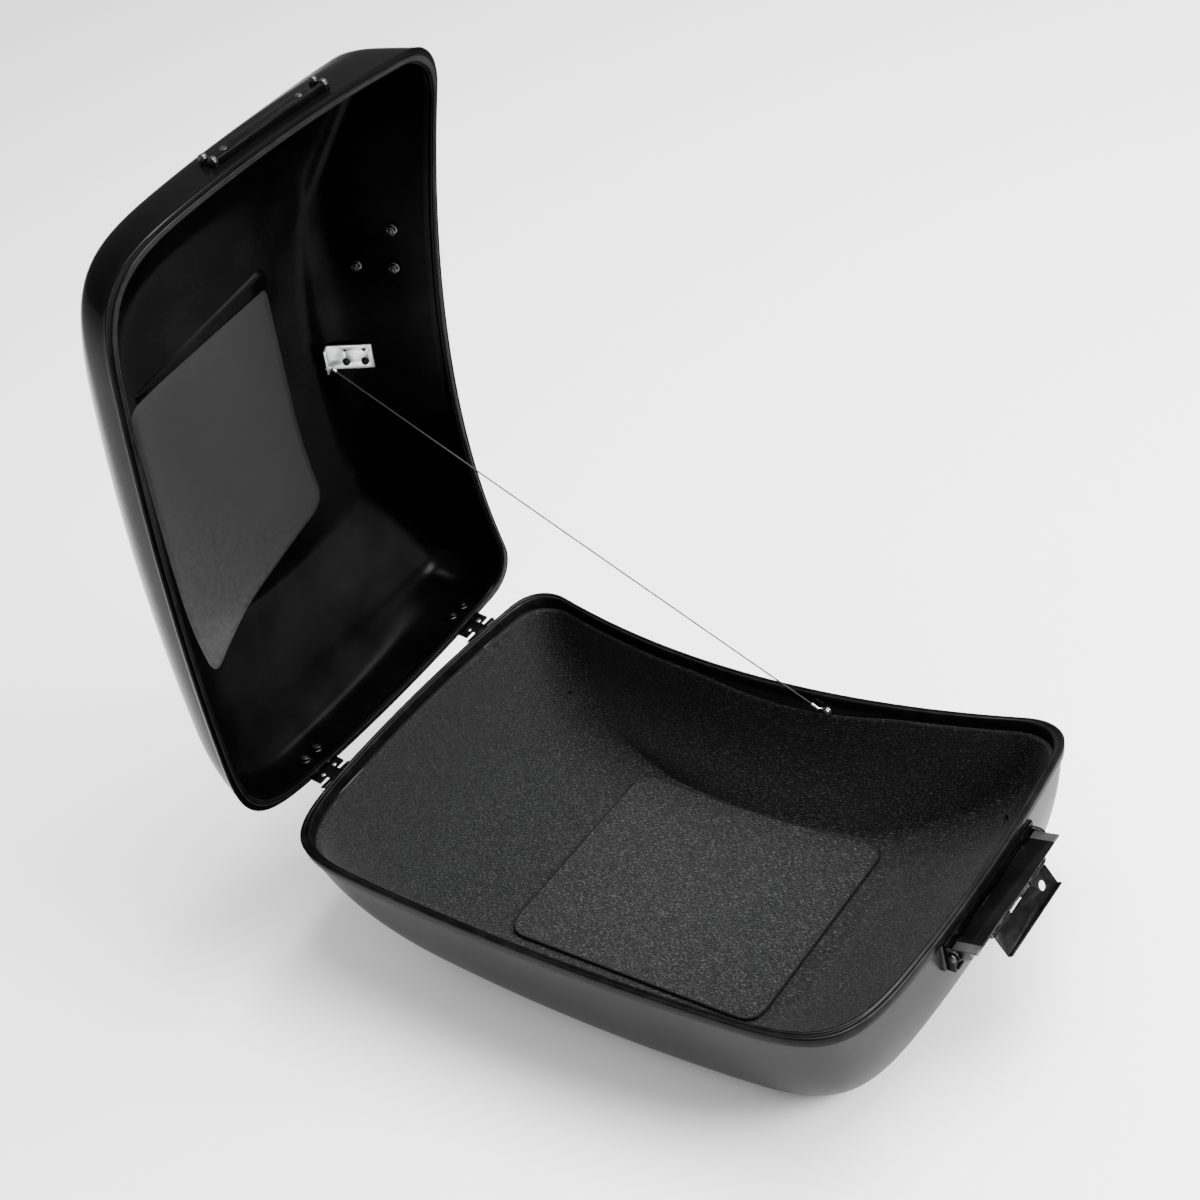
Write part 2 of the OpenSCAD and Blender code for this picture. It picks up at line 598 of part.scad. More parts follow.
// Section of the draw bar: a bevelled block whose top reaches out over the hook plate's pin.
BAR_SECTION = [[-bar_back, -3], [-3, -bar_half_t], [bar_tip - 7, -bar_half_t], [bar_tip - 1, -3],
  [bar_tip - 1, 4.2], [bar_tip + 7, 4.2], [bar_tip + 7, 5], [bar_tip + 6, bar_half_t],
  [-2, bar_half_t], [-bar_back, 2]];
module bar_prism(y0, y1) {
  translate([0, y1, 0]) rotate([90, 0, 0]) linear_extrude(height = y1 - y0) polygon(BAR_SECTION);
}
module latch_bar() {
  half = bar_end - cap_len;
  color("#17181a") on_bar() difference() {
    union() {
      bar_prism(-half, half);
      for (y = [-52, 40]) {
        y_rod(hook_arm, 0, y, y + 12, 3.6);
        span([bar_tip - 4, y, -2.5], [hook_arm, y + 12, 2]);
      }
    }
    y_rod(0, 0, -half - 1, half + 1, pin_r + fit_gap);
    y_rod(hook_arm, 0, -53, 53, hook_pin_r + fit_gap);
  }
}
module latch_end_caps() {
  color("#6f7276") on_bar() for (y = [-bar_end, bar_end - cap_len]) difference() {
    bar_prism(y, y + cap_len);
    y_rod(0, 0, y - 1, y + cap_len + 1, pin_r + fit_gap);
  }
}
module hook_pin() {
  color("#7d8084") on_bar() union() {
    y_rod(hook_arm, 0, -53, 53, hook_pin_r);
    for (y = [-54.5, 52.4]) y_rod(hook_arm, 0, y, y + 2.1, 3);
  }
}
// The hook plate's own plane: X away from its pin along the plate, Z across it.
module on_hook() {
  on_bar() translate([hook_arm, 0, 0]) rotate([0, bar_deg + hook_deg, 0]) children();
}
hook_half = 51;
module hook_plate() {
  color("#17181a") on_hook() difference() {
    union() {
      for (y = [-39.7, 20]) y_rod(0, 0, y, y + 19.7, 3.6);
      span([0, -39.7, -1], [5, -20, 1]);
      span([0, 20, -1], [5, 39.7, 1]);
      span([4.5, -hook_half, -1], [hook_len, hook_half, 1]);
      span([hook_len - 2, -hook_half, 0], [hook_len, hook_half, 5]);
    }
    y_rod(0, 0, -45, 45, hook_pin_r + fit_gap);
    translate([15, 33, -3]) cylinder(h = 6, r = 5);
  }
}
module hook_spring() {
  color("#a9abad") on_bar() for (i = [0:7])
    translate([hook_arm, 4 + 1.7 * i, 0]) rotate([90, 0, 0])
      rotate_extrude($fn = 32) translate([3, 0]) circle(r = 0.7, $fn = 16);
}

// ---- catch on the lid ----
module catch_plate() {
  z0 = lid_z0 + 15;
  opened() color("#1c1c1e") difference() {
    union() {
      span([catch_x, latch_y - 74, z0], [catch_x + 2, latch_y + 74, lid_z0 + 37]);
      span([catch_x, latch_y - 74, z0], [catch_x + 8.5, latch_y + 74, z0 + 2]);
      span([catch_x + 6.5, latch_y - 74, z0], [catch_x + 8.5, latch_y + 74, z0 + 4]);
    }
    for (y = catch_spots)
      along([catch_x + 4, y, catch_z + 3], [-1, 0, 0]) cylinder(h = 9, r = rivet_r + hole_gap);
  }
}
module catch_screws() {
  opened() color("#9a9da1") for (y = catch_spots)
    along([catch_x + 2, y, catch_z + 3], [-1, 0, 0]) headed(4.4, 1.8, rivet_r, 14);
}
// Two-lobed steel hooks at the ends of the catch plate.
module catch_end_hooks() {
  opened() color("#3a3b3e") for (y = [latch_y - 78.5, latch_y + 74]) union() {
    span([catch_x, y, lid_z0 + 14], [catch_x + 3, y + 4.5, lid_z0 + 36]);
    y_rod(catch_x + 5, lid_z0 + 31, y, y + 4.5, 4.9);
    y_rod(catch_x + 5, lid_z0 + 19, y, y + 4.5, 4.9);
  }
}

base_shell();
base_liner();
floor_mat();
base_rim_trim();
rack_washers();
hinge_base_leaf_rear();
hinge_base_leaf_front();
hinge_lid_leaf_rear();
hinge_lid_leaf_front();
hinge_pin_rear();
hinge_pin_front();
hinge_base_screws();
hinge_lid_bolts();
hinge_lid_rivets();
lid_shell();
lid_seal();
lid_stud_bolts();
lid_stud_nuts();
catch_plate();
catch_end_hooks();
catch_screws();
cable_bracket();
cable_bracket_screws();
check_cable();
cable_lid_ferrule();
cable_base_eyelet();
cable_anchor_screw();
latch_bracket();
latch_bracket_screws();
latch_pivot_pin();
latch_bar();
latch_end_caps();
hook_pin();
hook_plate();
hook_spring();
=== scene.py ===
import math
import random

import bmesh
import bpy
import numpy as np
from mathutils import Matrix, Vector, noise
from mathutils.bvhtree import BVHTree


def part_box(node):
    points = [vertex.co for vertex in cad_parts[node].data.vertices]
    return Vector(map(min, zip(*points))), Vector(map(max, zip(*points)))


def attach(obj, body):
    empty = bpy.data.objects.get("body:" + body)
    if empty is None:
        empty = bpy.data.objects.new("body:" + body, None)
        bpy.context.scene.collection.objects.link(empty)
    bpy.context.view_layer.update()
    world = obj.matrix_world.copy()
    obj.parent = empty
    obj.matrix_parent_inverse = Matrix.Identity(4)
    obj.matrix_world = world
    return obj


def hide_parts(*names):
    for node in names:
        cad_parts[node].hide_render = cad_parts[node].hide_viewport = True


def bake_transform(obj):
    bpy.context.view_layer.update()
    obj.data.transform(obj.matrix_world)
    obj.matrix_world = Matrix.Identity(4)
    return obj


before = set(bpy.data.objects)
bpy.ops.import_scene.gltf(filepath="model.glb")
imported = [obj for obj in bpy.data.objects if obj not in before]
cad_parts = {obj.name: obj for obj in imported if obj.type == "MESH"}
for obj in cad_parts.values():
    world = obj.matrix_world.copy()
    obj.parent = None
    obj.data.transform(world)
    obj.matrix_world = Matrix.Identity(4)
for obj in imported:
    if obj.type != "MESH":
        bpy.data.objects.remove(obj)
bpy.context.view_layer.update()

MM = 0.001
rng = random.Random(7)

# ---- driving sizes in millimetres: X to the latch end, Y to the hollow front wall, Z up ----
RIM_Z = 172.0
HALF_W = 343.0
HALF_D = 242.5
HOLLOW = 55.0
# How far the mid of the rear wall and of the two end walls bows outwards.
REAR_BULGE = 17.0
SIDE_BULGE = 16.0
# Length of the outline that each corner takes (two rear, two front) and how tightly it turns.
CUTS = (105.0, 105.0, 50.0, 50.0)
EASES = (0.83, 0.83, 0.6, 0.6)
WALL = 4.0
SHELL_TOP = 169.0
LID_Z = 174.0
LID_H = 134.0
LID_OVER = 6.0
FLANGE = 12.0
FELT = 4.0
FELT_GAP = 0.6
FELT_TOP = 158.0
# A wall's place between rim and floor, or between the lid's mouth and its top, runs from 0 to 1.
U_STRAIGHT = 0.18
U_BOTTOM = 0.953
U_ROOF = 0.975
# Walls draw in by (straight draft, rounding, roundness): hinge end, latch end, rear, front.
BASE_INSET = ((27, 123, 2), (9, 70, 2), (14, 65, 2), (21, 42, 2))
# The same for the lid: both ends, rear, front.
LID_INSET = ((14, 0, 2), (40, 92, 2.6), (36, 60, 6))
# The lid's ends lean in by (reach, height of the soft crease) at the rear and at the front.
REAR_LEAN = (206, 0.39)
FRONT_LEAN = (322, 0.63)
LEAN_SOFT = 0.06
HOLLOW_LOSS = 0.2
LID_HOLLOW_GAIN = 20
LID_FLATTER = 0.6
# The lining slopes away from the shell by (reach, start): hinge end, latch end, rear.
LINER_SLOPE = ((60, 0.76), (107, 0.38), (16, 0.7))

# ---- places of fittings ----
HINGE_X = -367.0
HINGE_Z = 158.5
OPEN = math.radians(80)
HINGE_YS = {"rear": -110, "front": 154}
HINGE_PAD_X = -361
HINGE_PAD_HALF = 23
LATCH_Y = 22
LATCH_PAD_X = 358
LATCH_PAD_HALF = 90
PAD_TOP = 159.5
CATCH_X = 360.5
CATCH_HALF = 80
VENTS = ((-295, 145), (-284, 67), (231, 61), (284, 67))
VENT_R = 3
RACK_BOLTS = [(x, y) for x in (-110, 110) for y in (-75, 75)]
RACK_R = 3.5


def inset(side, u):
    """How far a wall has drawn in at height u."""
    return side[0] * u + side[1] * (1 - (1 - u ** side[2]) ** (1 / side[2]))


def lean(end, u):
    """How far an end of the lid leans in above its soft crease; end is (reach, crease height)."""
    return end[0] / 2 * (math.hypot(u - end[1], LEAN_SOFT) + u - math.hypot(end[1], LEAN_SOFT))


def base_level(u):
    """A level is [z, left x, right x, rear y, front y, front hollow, spread of the front corners]."""
    return [RIM_Z * (1 - u), -HALF_W + inset(BASE_INSET[0], u), HALF_W - inset(BASE_INSET[1], u),
            -HALF_D + inset(BASE_INSET[2], u), HALF_D - inset(BASE_INSET[3], u),
            HOLLOW * (1 - HOLLOW_LOSS * u), 0]


def lid_level(u):
    mouth = HALF_W + LID_OVER
    half = mouth - inset(LID_INSET[0], u) - lean(REAR_LEAN, u)
    spread = lean(REAR_LEAN, u) - lean(FRONT_LEAN, u)
    hollow = HOLLOW + LID_HOLLOW_GAIN * u
    flatter = LID_FLATTER * hollow * (1 - ((half + spread) / mouth) ** 2)
    return [LID_Z + LID_H * u, -half, half, -HALF_D - LID_OVER + inset(LID_INSET[1], u),
            HALF_D + LID_OVER - inset(LID_INSET[2], u) - flatter, hollow - flatter, spread]


def moved(s, t, z):
    """A level moved inwards by t and put at height z."""
    return [z, s[1] + t, s[2] - t, s[3] + t, s[4] - t, s[5], s[6]]


def liner_level(u, t, z):
    """A level of the lining, which slopes away from the shell low down and keeps the front wall's curve."""
    s = base_level(u)
    far = [a * (max(u - b, 0) / (U_BOTTOM - b)) ** 2 for a, b in LINER_SLOPE]
    left, right, mid = s[1] + far[0], s[2] - far[1], (s[1] + s[2]) / 2
    own = (left + right) / 2
    curve = s[5] / (mid - s[1]) ** 2
    hollow = curve * (own - left) ** 2
    end = right if own < mid else left
    back = curve * (own - mid) * (2 * end - mid - own)
    return moved([z, left, right, s[3] + far[2], s[4] - s[5] + back + hollow, hollow, 0], t, z)


def ring(s, n_edge=40, n_corner=18):
    """Outline of one level: four bowed edges joined by four eased corners, as rows of x, y, z."""
    mid_x, rear = (s[1] + s[2]) / 2, s[3] + REAR_BULGE
    side_y = (rear + s[4]) / 2
    left, right, bow = s[1] - s[6], s[2] + s[6], s[6] / 2 + 2 * SIDE_BULGE
    corners = [np.array(p, float) for p in ((s[1], rear), (s[2], rear), (right, s[4]), (left, s[4]))]
    mids = [np.array(p, float) for p in ((mid_x, s[3] - REAR_BULGE), (s[2] + bow, side_y),
                                         (mid_x, s[4] - 2 * s[5]), (s[1] - bow, side_y))]
    rows = []
    for i in range(4):
        j, k = (i + 1) % 4, (i + 2) % 4
        a, m, b, n, c = corners[i], mids[i], corners[j], mids[j], corners[k]
        ab, bc = np.linalg.norm(b - a), np.linalg.norm(c - b)
        t0, t1, t2 = CUTS[i] / ab, 1 - CUTS[j] / ab, CUTS[j] / bc

        def edge(p, q, r, t):
            return (1 - t) ** 2 * p + 2 * t * (1 - t) * q + t * t * r

        def way(p, q, r, t):
            d = (1 - t) * (q - p) + t * (r - q)
            return d / np.linalg.norm(d)
        rows += [edge(a, m, b, t0 + (t1 - t0) * q / n_edge) for q in range(n_edge)]
        p0, p3 = edge(a, m, b, t1), edge(b, n, c, t2)
        p1 = p0 + way(a, m, b, t1) * np.linalg.norm(b - p0) * EASES[j]
        p2 = p3 - way(b, n, c, t2) * np.linalg.norm(b - p3) * EASES[j]
        for q in range(n_corner):
            t = q / n_corner
            rows.append((1 - t) ** 3 * p0 + 3 * t * (1 - t) ** 2 * p1
                        + 3 * t * t * (1 - t) * p2 + t ** 3 * p3)
    return np.column_stack([np.array(rows), np.full(len(rows), float(s[0]))])


def shrunk(row, scale, z=None):
    """A smaller copy of a ring around its own middle."""
    mid = row.mean(axis=0)
    out = mid + (row - mid) * np.array([scale, scale, 1])
    if z is not None:
        out[:, 2] = z
    return out


def fill_rings(row, steps):
    """Rings that close a flat face towards its middle."""
    return [shrunk(row, 1 - (i + 1) / (steps + 1)) for i in range(steps)]


def skin(rows, loop=False, caps=True):
    """Vertices and faces through a list of rings."""
    n = len(rows[0])
    last = len(rows)
    pairs = last if loop else last - 1
    faces = []
    for i in range(pairs):
        a, c = i * n, ((i + 1) % last) * n
        faces += [(a + j, a + (j + 1) % n, c + (j + 1) % n, c + j) for j in range(n)]
    if caps and not loop:
        faces.append(tuple(range(n - 1, -1, -1)))
        faces.append(tuple((last - 1) * n + j for j in range(n)))
    return np.vstack(rows), faces


def opened(points):
    """Turns points drawn in the closed place of the lid into its open place."""
    x, z = points[:, 0] - HINGE_X, points[:, 2] - HINGE_Z
    c, s = math.cos(OPEN), math.sin(OPEN)
    return np.column_stack([x * c - z * s + HINGE_X, points[:, 1], x * s + z * c + HINGE_Z])


def build(name, points, faces, mats, body, node, angle=34, face_mats=None):
    """Makes a piece from points in millimetres, hangs it under its body's empty and hides the CAD nodes it
    stands in for.
    """
    mesh = bpy.data.meshes.new(name)
    mesh.from_pydata([tuple(p) for p in points * MM], [], faces)
    for m in mats:
        mesh.materials.append(m)
    if face_mats is not None:
        mesh.polygons.foreach_set("material_index", face_mats)
    bm = bmesh.new()
    bm.from_mesh(mesh)
    bmesh.ops.recalc_face_normals(bm, faces=bm.faces)
    bm.to_mesh(mesh)
    bm.free()
    obj = bpy.data.objects.new(name, mesh)
    bpy.context.scene.collection.objects.link(obj)
    smooth(mesh, angle)
    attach(obj, body)
    for one in node:
        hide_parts(one)
    return obj


def smooth(mesh, angle):
    mesh.polygons.foreach_set("use_smooth", [True] * len(mesh.polygons))
    mesh.set_sharp_from_angle(angle=math.radians(angle))


def drill(obj, holes):
    """Bores round holes: each is (start, end, radius) in millimetres."""
    bm = bmesh.new()
    for start, end, radius in holes:
        a, b = Vector(start) * MM, Vector(end) * MM
        turn = (b - a).to_track_quat("Z", "Y").to_matrix().to_4x4()
        bmesh.ops.create_cone(bm, cap_ends=True, segments=32, radius1=radius * MM, radius2=radius * MM,
                              depth=(b - a).length, matrix=Matrix.Translation((a + b) / 2) @ turn)
    cut_away(obj, bm)


def pocket(obj, boxes):
    """Sinks box-shaped pockets, given as (low, high) in the closed place of the lid."""
    bm = bmesh.new()
    for low_corner, high_corner in boxes:
        size = np.array(high_corner, float) - np.array(low_corner, float)
        mid = (np.array(high_corner, float) + np.array(low_corner, float)) / 2
        made = bmesh.ops.create_cube(bm, size=1)["verts"]
        for v, p in zip(made, opened(np.array([mid + np.array(v.co) * size for v in made]))):
            v.co = p * MM
    cut_away(obj, bm)


def cut_away(obj, bm):
    """Takes the tool in bm away from an object, unless that would lose its mesh."""
    mesh = bpy.data.meshes.new("drill")
    bm.to_mesh(mesh)
    bm.free()
    tool = bpy.data.objects.new("drill", mesh)
    bpy.context.scene.collection.objects.link(tool)
    cut = obj.modifiers.new("cut", "BOOLEAN")
    cut.object = tool
    cut.operation = "DIFFERENCE"
    cut.solver = "EXACT"
    bpy.context.view_layer.update()
    done = bpy.data.meshes.new_from_object(obj.evaluated_get(bpy.context.evaluated_depsgraph_get()))
    obj.modifiers.clear()
    if len(done.polygons) > 0.8 * len(obj.data.polygons):
        obj.data = done
        smooth(done, 34)
    else:
        print("drill left out on", obj.name)
    bpy.data.objects.remove(tool)


# ---- materials ----
def material(name, dark, light, rough, metal=0.0, grain=60, bump=0.05, bump_size=900, coat=0.0,
             rough_swing=0.06, sheen=0.0, spec=0.5, edge=1.0):
    """A surface whose colour, gloss and relief all vary with noise in the object's own space."""
    mat = bpy.data.materials.new(name)
    mat.use_nodes = True
    tree = mat.node_tree
    node, link = tree.nodes.new, tree.links.new
    shader = tree.nodes["Principled BSDF"]
    place = node("ShaderNodeTexCoord")
    wide = node("ShaderNodeTexNoise")
    wide.inputs["Scale"].default_value = grain
    wide.inputs["Detail"].default_value = 6
    ramp = node("ShaderNodeValToRGB")
    ramp.color_ramp.elements[0].position = 0.35
    ramp.color_ramp.elements[0].color = (*dark, 1)
    ramp.color_ramp.elements[1].position = 0.7
    ramp.color_ramp.elements[1].color = (*light, 1)
    gloss = node("ShaderNodeMapRange")
    gloss.inputs["To Min"].default_value = max(rough - rough_swing, 0.02)
    gloss.inputs["To Max"].default_value = rough + rough_swing
    fine = node("ShaderNodeTexNoise")
    fine.inputs["Scale"].default_value = bump_size
    fine.inputs["Detail"].default_value = 3
    relief = node("ShaderNodeBump")
    relief.inputs["Strength"].default_value = bump
    relief.inputs["Distance"].default_value = 0.0006
    for tex in (wide, fine):
        link(place.outputs["Object"], tex.inputs["Vector"])
    link(wide.outputs["Fac"], ramp.inputs["Fac"])
    link(wide.outputs["Fac"], gloss.inputs["Value"])
    link(ramp.outputs["Color"], shader.inputs["Base Color"])
    link(gloss.outputs["Result"], shader.inputs["Roughness"])
    link(fine.outputs["Fac"], relief.inputs["Height"])
    link(relief.outputs["Normal"], shader.inputs["Normal"])
    shader.inputs["Metallic"].default_value = metal
    shader.inputs["Coat Weight"].default_value = coat
    shader.inputs["Coat Roughness"].default_value = 0.06
    shader.inputs["Sheen Weight"].default_value = sheen
    shader.inputs["Specular IOR Level"].default_value = spec
    shader.inputs["Specular Tint"].default_value = (edge, edge, edge, 1)
    return mat


def felt_material(name, dark, light, fibre):
    """Needled felt: cloudy charcoal with short pale fibres and a rough nap."""
    mat = material(name, dark, light, 0.93, grain=260, bump=0.9, bump_size=1500, sheen=0.04, spec=0.12)
    tree = mat.node_tree
    node, link = tree.nodes.new, tree.links.new
    shader = tree.nodes["Principled BSDF"]
    place = next(n for n in tree.nodes if n.type == "TEX_COORD")
    ramp = next(n for n in tree.nodes if n.type == "VALTORGB")
    colour = ramp.outputs["Color"]
    for turn, size in ((0.0, 210), (1.1, 280), (2.2, 245)):
        lay = node("ShaderNodeMapping")
        lay.inputs["Rotation"].default_value = (turn * 0.7, turn, turn * 1.3)
        lay.inputs["Scale"].default_value = (1.0, 8.0, 4.0)
        bits = node("ShaderNodeTexNoise")
        bits.inputs["Scale"].default_value = size
        bits.inputs["Detail"].default_value = 2
        pick = node("ShaderNodeMapRange")
        pick.inputs["From Min"].default_value = 0.62
        pick.inputs["From Max"].default_value = 0.71
        mix = node("ShaderNodeMix")
        mix.data_type = "RGBA"
        mix.inputs["B"].default_value = (fibre, fibre, fibre, 1)
        link(place.outputs["Object"], lay.inputs["Vector"])
        link(lay.outputs["Vector"], bits.inputs["Vector"])
        link(bits.outputs["Fac"], pick.inputs["Value"])
        link(pick.outputs["Result"], mix.inputs["Factor"])
        link(colour, mix.inputs["A"])
        colour = mix.outputs["Result"]
    link(colour, shader.inputs["Base Color"])
    return mat


# The blacks are partly metallic with a dim edge tint, which keeps them black at a flat angle of view.
GLOSS = material("trunk_gloss_black", (0.006, 0.006, 0.006), (0.012, 0.012, 0.012), 0.16, metal=0.8,
                 grain=8, bump=0.03, bump_size=260, rough_swing=0.03, spec=0.15, edge=0.25)
TUB_GLOSS = material("trunk_base_black", (0.020, 0.020, 0.020), (0.030, 0.030, 0.030), 0.34, metal=0.62,
                     grain=8, bump=0.03, bump_size=260, rough_swing=0.04, spec=0.2, edge=0.5)
SATIN = material("trunk_inside_black", (0.002, 0.002, 0.002), (0.005, 0.005, 0.005), 0.24, metal=0.8,
                 grain=14, bump=0.05, bump_size=420, rough_swing=0.05, spec=0.1, edge=0.15)


def panel_material_painted_sheen():
    """Grained panel in the lid's roof: matt, with a painted highlight that keeps it greyer low down and
    fades it to the black of the roof.
    """
    mat = material("trunk_roof_grain_painted_sheen", (0.024, 0.024, 0.024), (0.038, 0.038, 0.038), 0.5, grain=180,
                   bump=0.25, bump_size=1300, spec=0.15)
    tree = mat.node_tree
    node, link = tree.nodes.new, tree.links.new
    place = next(n for n in tree.nodes if n.type == "TEX_COORD")
    ramp = next(n for n in tree.nodes if n.type == "VALTORGB")
    # Painted highlight: the grain's grey holds on the low part of the panel and blends to near black higher
    # up.
    reach = node("ShaderNodeVectorMath")
    reach.operation = "DOT_PRODUCT"
    reach.inputs[1].default_value = (0, 0.9, 1)
    fade = node("ShaderNodeMapRange")
    fade.interpolation_type = "SMOOTHSTEP"
    fade.inputs["From Min"].default_value = 0.1
    fade.inputs["From Max"].default_value = 0.58
    blend = node("ShaderNodeMix")
    blend.data_type = "RGBA"
    blend.inputs["B"].default_value = (0.004, 0.004, 0.004, 1)
    link(place.outputs["Object"], reach.inputs[0])
    link(reach.outputs["Value"], fade.inputs["Value"])
    link(fade.outputs["Result"], blend.inputs["Factor"])
    link(ramp.outputs["Color"], blend.inputs["A"])
    link(blend.outputs["Result"], tree.nodes["Principled BSDF"].inputs["Base Color"])
    return mat


PANEL = panel_material_painted_sheen()
CARPET = felt_material("trunk_felt", (0.002, 0.002, 0.0021), (0.005, 0.005, 0.0051), 0.056)
MAT_FELT = felt_material("trunk_mat_felt", (0.003, 0.003, 0.0031), (0.006, 0.006, 0.0061), 0.078)
# Near-black felt without pale fibres, for the tube that marks the mat's seam: painted shade.
SEAM_SHADE = material("mat_seam_painted_shade", (0.002, 0.002, 0.002), (0.006, 0.006, 0.006), 0.9, grain=500,
                   bump=0.6, bump_size=2200, spec=0.1)
RUBBER = material("trunk_rubber", (0.004, 0.004, 0.004), (0.009, 0.009, 0.009), 0.2, metal=0.6,
                  bump=0.05, spec=0.2, edge=0.3)
BLACK_STEEL = material("black_painted_steel", (0.004, 0.004, 0.004), (0.009, 0.009, 0.009), 0.2,
                       metal=0.7, grain=90, bump=0.08, spec=0.2, edge=0.3)
DARK_STEEL = material("dark_plated_steel", (0.02, 0.02, 0.021), (0.05, 0.05, 0.052), 0.28, metal=1.0,
                      grain=150, bump=0.06)
ZINC = material("zinc_plated_steel", (0.42, 0.43, 0.44), (0.62, 0.62, 0.63), 0.26, metal=1.0,
                grain=220, bump=0.08, rough_swing=0.1)
NUT_STEEL = material("grey_plated_steel", (0.035, 0.035, 0.037), (0.10, 0.10, 0.103), 0.24, metal=1.0,
                     grain=200, bump=0.08, rough_swing=0.08)
ALU = material("brushed_aluminium", (0.62, 0.63, 0.64), (0.80, 0.80, 0.81), 0.33, metal=1.0,
               grain=90, bump=0.1, bump_size=1400)
BAR = material("latch_black_plastic", (0.003, 0.003, 0.003), (0.007, 0.007, 0.007), 0.16, metal=0.6,
               grain=40, bump=0.04, spec=0.2, edge=0.3)
# End caps of black gloss plastic, made lighter than the bar as a painted reflection.
CAP = material("latch_cap_painted_sheen", (0.016, 0.016, 0.0165), (0.03, 0.03, 0.0305), 0.3, grain=70, bump=0.08,
               spec=0.2)
CABLE = material("cable_jacket_grey", (0.008, 0.008, 0.008), (0.02, 0.02, 0.02), 0.4, grain=400,
                 bump=0.3, bump_size=2600, spec=0.2)

# ---- base tub ----
ANGLE_BOTTOM = math.asin(U_BOTTOM)
BASE_STEPS = 44
base_us = [math.sin(ANGLE_BOTTOM * (1 - i / BASE_STEPS)) for i in range(BASE_STEPS + 1)]
# The ledge that the tub stands on, as (inset, height) pairs.
FOOT = ((16, 0), (14.6, 0.3), (14, 1.2), (14, 6.4), (13.4, 7.6), (12, 8.08))


def straight(u, top, low):
    """Height under the rim, where the wall runs straight from its top down to the first level."""
    return top - (top - low) * u / U_STRAIGHT


def wall_at(z, top, low):
    """The place of a height z on the straight stretch under the rim."""
    return max((top - z) / (top - low) * U_STRAIGHT, 0)


OUT_LOW = RIM_Z * (1 - U_STRAIGHT)
IN_LOW = OUT_LOW + WALL * U_STRAIGHT
IN_TOP = RIM_Z + 1
rows = [ring(moved(base_level(U_BOTTOM), t, z)) for t, z in FOOT]
for u in base_us:
    s = base_level(u)
    rows.append(ring(s if u > U_STRAIGHT else moved(s, 0, straight(u, SHELL_TOP, OUT_LOW))))
rows.append(ring(moved(base_level(0), WALL * 0.5, SHELL_TOP + 0.3)))
for u in reversed(base_us):
    s = base_level(u)
    z = s[0] + WALL * u if u > U_STRAIGHT else straight(u, IN_TOP, IN_LOW)
    rows.append(ring(moved(s, WALL, min(z, SHELL_TOP))))
points, faces = skin(rows)
tub = build("base_tub", points, faces, [TUB_GLOSS], "base", ["base_shell"])
vent_bores = [((x, 120, z), (x, 260, z), VENT_R) for x, z in VENTS]
drill(tub, vent_bores + [((x, y, -5), (x, y, 25), RACK_R) for x, y in RACK_BOLTS])

# ---- pads for the hinges and the latch on the tub ----


def pad(name, low, high, reach):
    """Moulded block with rounded edges; its lower inner edge reaches in to the slanting wall."""
    bm = bmesh.new()
    bmesh.ops.create_cube(bm, size=1)
    size = (np.array(high) - np.array(low)) * MM
    mid = (np.array(high) + np.array(low)) / 2 * MM
    for v in bm.verts:
        inner = v.co.z < 0 and v.co.x * mid[0] < 0
        v.co = Vector(mid + np.array(v.co) * size) + Vector((reach * MM if inner else 0, 0, 0))
    bmesh.ops.bevel(bm, geom=bm.edges, offset=0.0014, segments=3, affect="EDGES", profile=0.5)
    mesh = bpy.data.meshes.new(name)
    bm.to_mesh(mesh)
    bm.free()
    mesh.materials.append(TUB_GLOSS)
    smooth(mesh, 40)
    obj = bpy.data.objects.new(name, mesh)
    bpy.context.scene.collection.objects.link(obj)
    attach(obj, "base")


for tag, y in HINGE_YS.items():
    pad("base_hinge_pad_" + tag, (HINGE_PAD_X, y - HINGE_PAD_HALF, 120),
        (HINGE_PAD_X + 15, y + HINGE_PAD_HALF, PAD_TOP), 3)
pad("base_latch_pad", (LATCH_PAD_X - 7, LATCH_Y - LATCH_PAD_HALF, 124),
    (LATCH_PAD_X, LATCH_Y + LATCH_PAD_HALF, PAD_TOP), -4)

# ---- lid dome ----
LID_STEPS = 46
lid_us = [U_ROOF * (1 - (1 - i / LID_STEPS) ** 1.6) for i in range(LID_STEPS + 1)]
# The roof swells a little towards its middle: (inset, rise) pairs.
CROWN = ((3, 1.0), (8, 2.1), (16, 3.2), (30, 4.3), (50, 5.0))
# Edge of the lid's mouth and its inner flange as (inset, height) pairs; the last eight are satin.
LIP = ((0, 1.6), (0.25, 0.5), (0.9, 0), (FLANGE - 2, 0), (FLANGE - 0.7, 0.3), (FLANGE, 1.2),
       (FLANGE, 3.2), (FLANGE - 1, 4.2), (WALL + 2, 4.6), (WALL + 0.5, 5.4))
SATIN_LIP = 8
top = lid_level(U_ROOF)
rows = [ring(moved(top, t, top[0] + h)) for t, h in reversed(CROWN)]
rows = list(reversed(fill_rings(rows[0], 6))) + rows
rows += [ring(lid_level(u)) for u in reversed(lid_us) if u > 0.012]
mouth = lid_level(0)
rows += [ring(moved(mouth, t, LID_Z + z)) for t, z in LIP]
outside = (len(rows) - SATIN_LIP) * len(rows[0])
for u in lid_us:
    if u > 0.05:
        s = lid_level(u)
        rows.append(ring(moved(s, WALL, s[0] - WALL * u)))
rows += [ring(moved(top, WALL + t, top[0] - WALL * U_ROOF + h)) for t, h in CROWN]
rows += fill_rings(rows[-1], 12)
points, faces = skin(rows)
in_face = [1 if min(f) >= outside else 0 for f in faces]
dome = build("lid_dome", opened(points), faces, [GLOSS, SATIN], "lid", ["lid_shell"],
             face_mats=in_face)
